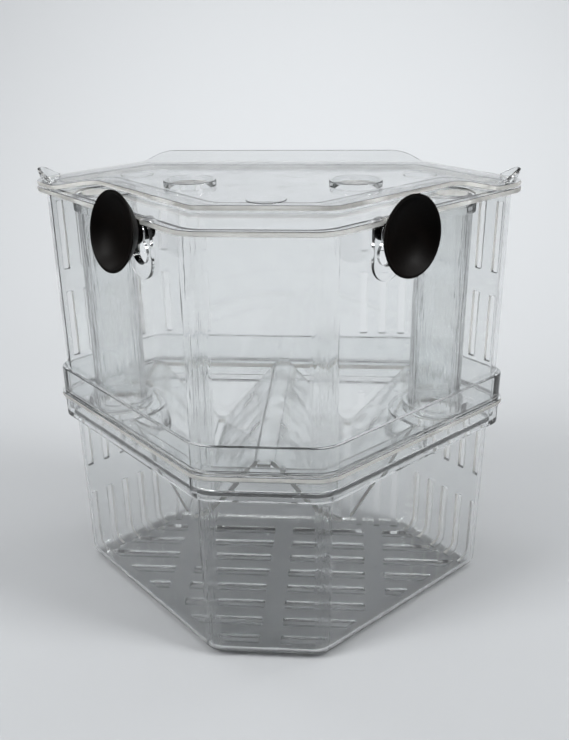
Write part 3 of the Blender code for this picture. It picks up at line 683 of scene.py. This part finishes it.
def make_cup(name, place, lean):
    """A rubber cup on a hub with a buttoned stem, drawn out ring by ring from the button."""
    # Each ring's radius and distance out along the stem, in millimetres
    rings = (
        (1.3, -3.7), (2.0, -3.4), (2.2, -2.9), (2.2, -1.6), (1.95, -1.5), (1.5, -1.45), (1.5, 1.05),
        (1.6, 1.1), (2.9, 1.1), (3.1, 1.3), (3.1, 2.6), (3.3, 2.95), (3.9, 3.15), (5.0, 3.75),
        (6.2, 4.6), (7.4, 5.6), (8.5, 6.7), (9.2, 7.5), (9.5, 7.85), (9.5, 8.0), (9.35, 8.1),
        (9.0, 8.08), (8.75, 7.9), (8.1, 7.1), (7.0, 6.1), (5.6, 5.35), (4.0, 4.85), (2.2, 4.65),
        (0.7, 4.6),
    )
    hub = 1.2 * MM
    first_radius, first_out = rings[0]
    bpy.ops.object.select_all(action="DESELECT")
    bpy.ops.mesh.primitive_circle_add(
        vertices=72, radius=first_radius * MM, fill_type="NGON", location=(0, 0, first_out * MM)
    )
    cup = settle(name)
    edit(cup)
    bpy.ops.mesh.select_mode(type="FACE")
    bpy.ops.mesh.select_all(action="SELECT")
    for (radius, out), (next_radius, next_out) in zip(rings, rings[1:]):
        step = (0, 0, (next_out - out) * MM)
        bpy.ops.mesh.extrude_region_move(TRANSFORM_OT_translate={"value": step})
        share = next_radius / radius
        bpy.ops.transform.resize(value=(share, share, 1), center_override=(0, 0, 0))
    face_outwards()
    pick("VERT", lambda vertex: vertex.co.z > hub)
    bpy.ops.transform.rotate(value=-lean, orient_axis="X", center_override=(0, 0, hub))
    close_edit()
    cup.data.transform(place @ Matrix.Rotation(-math.pi / 2, 4, "X"))
    return cup


def linear(code):
    """A hex colour as seen on a screen, turned to linear light."""
    shares = [int(code[i:i + 2], 16) / 255 for i in (1, 3, 5)]
    return [s / 12.92 if s <= 0.04045 else ((s + 0.055) / 1.055) ** 2.4 for s in shares] + [1.0]


def add_node(tree, kind, inputs=None):
    """One node with its values and the links into it."""
    made = tree.nodes.new(kind)
    for name, value in (inputs or {}).items():
        if isinstance(value, bpy.types.NodeSocket):
            tree.links.new(value, made.inputs[name])
        else:
            made.inputs[name].default_value = value
    return made


def add_noise(tree, place, size, detail):
    """Noise whose marks are about this large."""
    inputs = {"Vector": place, "Scale": 1 / size, "Detail": detail}
    return add_node(tree, "ShaderNodeTexNoise", inputs).outputs["Fac"]


def add_tint(tree, share, codes):
    """A colour between two hex colours."""
    ramp = add_node(tree, "ShaderNodeValToRGB", {"Fac": share})
    for stop, code in zip(ramp.color_ramp.elements, codes):
        stop.color = linear(code)
    return ramp.outputs["Color"]


def new_material(name):
    material = bpy.data.materials.new(name)
    material.use_nodes = True
    tree = material.node_tree
    return material, tree, tree.nodes["Principled BSDF"]


def clear_polystyrene(name, tints, polished, rubbed, drawn, whitened=0.0):
    """Crystal polystyrene from a polished mould: water-clear, faintly grey where thick, with a wavy
    skin from the melt's flow and a haze of fine rubs and scratches from handling. A rubbed surface
    scatters more light, a drawn one has deeper marks along the way it left the mould, and a
    whitened one is full of tiny cracks that turn part of the light back."""
    material, tree, shader = new_material(name)
    place = add_node(tree, "ShaderNodeTexCoord").outputs["Object"]
    flow = add_noise(tree, place, 24 * MM, 2.0)
    tree.links.new(add_tint(tree, flow, tints), shader.inputs["Base Color"])
    rubs = add_noise(tree, place, 6 * MM, 6.0)
    haze = add_node(tree, "ShaderNodeMapRange", {
        "Value": rubs, "From Min": 0.42, "From Max": 0.75, "To Min": polished, "To Max": rubbed,
    })
    tree.links.new(haze.outputs["Result"], shader.inputs["Roughness"])
    stretch = {"Vector": place, "Scale": (1.0, 1.0, 0.06)}
    lengthwise = add_node(tree, "ShaderNodeMapping", stretch).outputs["Vector"]
    scratches = add_noise(tree, lengthwise, 0.9 * MM, 3.0)
    wave = add_node(
        tree, "ShaderNodeBump", {"Height": flow, "Strength": 1.0, "Distance": 0.06 * MM}
    )
    fine = add_node(tree, "ShaderNodeBump", {
        "Height": scratches, "Strength": 1.0, "Distance": drawn, "Normal": wave.outputs["Normal"],
    })
    tree.links.new(fine.outputs["Normal"], shader.inputs["Normal"])
    shader.inputs["IOR"].default_value = 1.59
    shader.inputs["Transmission Weight"].default_value = 1.0 - whitened
    return material


def black_rubber():
    """Moulded black rubber: near black with a faint brown cast, satin, with a fine grain and a
    dusty bloom."""
    material, tree, shader = new_material("black_moulded_rubber")
    place = add_node(tree, "ShaderNodeTexCoord").outputs["Object"]
    bloom = add_noise(tree, place, 3 * MM, 5.0)
    tree.links.new(add_tint(tree, bloom, ("#020202", "#0A0604")), shader.inputs["Base Color"])
    sheen = add_node(tree, "ShaderNodeMapRange", {"Value": bloom, "To Min": 0.36, "To Max": 0.55})
    tree.links.new(sheen.outputs["Result"], shader.inputs["Roughness"])
    grain = add_noise(tree, place, 0.35 * MM, 2.0)
    bump = add_node(
        tree, "ShaderNodeBump", {"Height": grain, "Strength": 0.6, "Distance": 0.03 * MM}
    )
    tree.links.new(bump.outputs["Normal"], shader.inputs["Normal"])
    shader.inputs["IOR"].default_value = 1.52
    shader.inputs["Specular IOR Level"].default_value = 0.05
    return material


def dress(piece, node, material):
    """Give a finished piece its material and smooth shading, and hand it to its body."""
    piece.data.materials.clear()
    piece.data.materials.append(material)
    only(piece)
    bpy.ops.object.shade_smooth_by_angle(angle=math.radians(38))
    apply_step(piece, "WEIGHTED_NORMAL", weight=50, keep_sharp=True)
    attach(piece, node)
    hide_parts(node)


def finish_faces(piece, material, *tests):
    """Give another finish to the faces that pass any of these tests."""
    piece.data.materials.append(material)
    edit(piece)
    pick("FACE", lambda face: any(test(face) for test in tests))
    piece.active_material_index = len(piece.data.materials) - 1
    bpy.ops.object.material_slot_assign()
    close_edit()


def on_tube(face):
    """The inside and outside of the feed tubes."""
    middle = face.calc_center_median()
    reach = (Vector((abs(middle.x), middle.y)) - TUBE_AT).length
    return TUBE_BORE - 0.2 * MM < reach < TUBE_RADIUS + NEAR and upright_face(face)


def on_cut_end(face):
    """The front and back ends of the folded sheet."""
    return abs(face.normal.y) > 0.6


def on_front_corner(face):
    """The bends between the front wall and its diagonals, from 2 to 43 degrees round."""
    middle = face.calc_center_median()
    bent = 0.035 < abs(face.normal.x) < 0.68 and upright_face(face)
    return bent and middle.y < FRONT_END and middle.z < DECK_LOW


def on_slot_side(face):
    """The cut sides of the slots in the back walls, which stand across the nearer wall."""
    middle = face.calc_center_median()
    if middle.y < SLOTS_START or not upright_face(face):
        return False
    side = math.copysign(1, middle.x)
    out = Vector((side * BACK_OUT.x, BACK_OUT.y))
    corner = Vector((side * BACK_CORNER.x, BACK_CORNER.y))
    depths = (((corner - middle.xy).dot(out), out), (BACK_Y - middle.y, Vector((0, 1))))
    depth, across = min(depths, key=lambda pair: pair[0])
    return depth < LOWER_INSET + 3 * WALL and abs(face.normal.xy.dot(across)) < 0.3


def on_plate_edge(low, high):
    """A test for the edge faces of a plate between two heights."""
    def on_edge(face):
        return low - NEAR < face.calc_center_median().z < high + NEAR and abs(face.normal.z) < 0.9
    return on_edge


def make_studio():
    """A pale floor that rises into a backdrop, and soft lights above, beside and behind."""
    bpy.ops.object.select_all(action="DESELECT")
    bpy.ops.mesh.primitive_plane_add(size=1, location=(0, -0.75, -0.1 * MM))
    floor = settle("studio_floor", (4, 2.5, 1))
    edit(floor)
    pick("EDGE", lambda edge: all(vertex.co.y > 0 for vertex in edge.verts))
    bpy.ops.mesh.extrude_region_move(TRANSFORM_OT_translate={"value": (0, 0, 1.6)})
    pick("EDGE", lambda edge: not edge.is_boundary)
    bevel(0.34, 24)
    close_edit()
    only(floor)
    bpy.ops.object.shade_smooth()
    paper, _, shader = new_material("studio_paper")
    shader.inputs["Base Color"].default_value = linear("#96989A")
    shader.inputs["Roughness"].default_value = 0.9
    floor.data.materials.append(paper)

    world = bpy.data.worlds.new("studio")
    world.use_nodes = True
    sky = world.node_tree.nodes["Background"]
    sky.inputs["Color"].default_value = linear("#C8CCD0")
    sky.inputs["Strength"].default_value = 0.24
    bpy.context.scene.world = world

    # Each lamp's place, target, width and height in metres, spread in degrees and power in watts
    lamps = (
        ("softbox_above", (0.0, -0.05, 0.95), (0, 0, 0.06), (0.8, 0.8), 100, 1.6),
        ("strip_left", (-0.45, -0.30, 0.58), (0, 0, 0.08), (0.20, 0.40), 100, 1.7),
        ("strip_right", (0.52, -0.18, 0.60), (0, 0, 0.08), (0.20, 0.40), 100, 1.7),
        ("rim_left", (-0.40, 0.20, 0.56), (0, 0, 0.08), (0.20, 0.35), 100, 0.25),
        ("rim_right", (0.42, 0.20, 0.56), (0, 0, 0.08), (0.20, 0.35), 100, 0.25),
        ("backdrop_light", (0.0, 0.03, 0.92), (0, 0.46, 0.18), (0.8, 0.3), 65, 2.2),
    )
    for name, place, target, size, spread, power in lamps:
        lamp = bpy.data.lights.new(name, "AREA")
        lamp.shape = "RECTANGLE"
        lamp.size, lamp.size_y = size
        lamp.energy = power
        lamp.spread = math.radians(spread)
        holder = bpy.data.objects.new(name, lamp)
        holder.location = place
        aim = Vector(target) - Vector(place)
        holder.rotation_euler = aim.to_track_quat("-Z", "Y").to_euler()
        bpy.context.scene.collection.objects.link(holder)


def make_camera():
    """The photo's own view, from above the front and a little to the right, fitted in radians."""
    place = (0.02013, -0.22205, 0.16604)
    yaw, pitch, roll = -0.078, -0.406, -0.014
    frame_height, focal_length = 740, 875
    flat = math.cos(pitch)
    ahead = Vector((math.sin(yaw) * flat, math.cos(yaw) * flat, math.sin(pitch)))
    level = Vector((math.cos(yaw), -math.sin(yaw), 0))
    rise = level.cross(ahead)
    right = level * math.cos(roll) + rise * math.sin(roll)
    up = rise * math.cos(roll) - level * math.sin(roll)
    lens = bpy.data.cameras.new("photo_camera")
    lens.sensor_fit = "VERTICAL"
    lens.sensor_height = 24
    lens.lens = focal_length * lens.sensor_height / frame_height
    lens.clip_start = 0.01
    camera = bpy.data.objects.new("photo_camera", lens)
    turn = Matrix((right, up, -ahead)).transposed().to_4x4()
    camera.matrix_world = Matrix.Translation(place) @ turn
    bpy.context.scene.collection.objects.link(camera)
    bpy.context.scene.camera = camera


make_camera()
make_studio()

# One plastic in four finishes: polished, drawn off the mould's core, cut or ground, and rubbed
clear = ("#F8FAFA", "#FEFEFE")
yellowed = ("#F5F3EC", "#FDFCF9")
plastic = clear_polystyrene("crystal_polystyrene", clear, 0.015, 0.10, 0.003 * MM)
core_drawn = clear_polystyrene("core_drawn_polystyrene", clear, 0.03, 0.24, 0.28 * MM)
ground_edge = clear_polystyrene("ground_edge_polystyrene", yellowed, 0.28, 0.55, 0.01 * MM, 0.28)
rubbed_sheet = clear_polystyrene("rubbed_polystyrene", clear, 0.06, 0.34, 0.01 * MM, 0.04)
rubber = black_rubber()

lower_box, tray, separator = make_lower_box(), make_tray(), make_separator()
upper_box, lid = make_upper_box(), make_lid()
dress(lower_box, "lower_box", plastic)
finish_faces(lower_box, core_drawn, on_front_corner)
finish_faces(lower_box, ground_edge, on_slot_side)
dress(tray, "tray", plastic)
finish_faces(tray, ground_edge, on_plate_edge(TRAY_SEAT, FLANGE_TOP))
dress(separator, "separator", rubbed_sheet)
finish_faces(separator, ground_edge, on_cut_end)
dress(upper_box, "upper_box", plastic)
finish_faces(upper_box, core_drawn, on_tube, on_front_corner)
finish_faces(upper_box, ground_edge, on_plate_edge(DECK_LOW, DECK_TOP), on_slot_side)
dress(lid, "lid", plastic)
finish_faces(lid, ground_edge, on_plate_edge(LID_SEAT, LID_TOP))
left, right = facing_out(CUP_ALONG, UPPER_INSET, CUP_HEIGHT)
dress(make_cup("cup_rubber_left", left, math.radians(10)), "suction_cup_left", rubber)
dress(make_cup("cup_rubber_right", right, math.radians(4)), "suction_cup_right", rubber)

# Enough bounces for light to cross every clear wall
bpy.context.scene.view_settings.view_transform = "Standard"
bpy.context.scene.cycles.max_bounces = 24
bpy.context.scene.cycles.transmission_bounces = 24
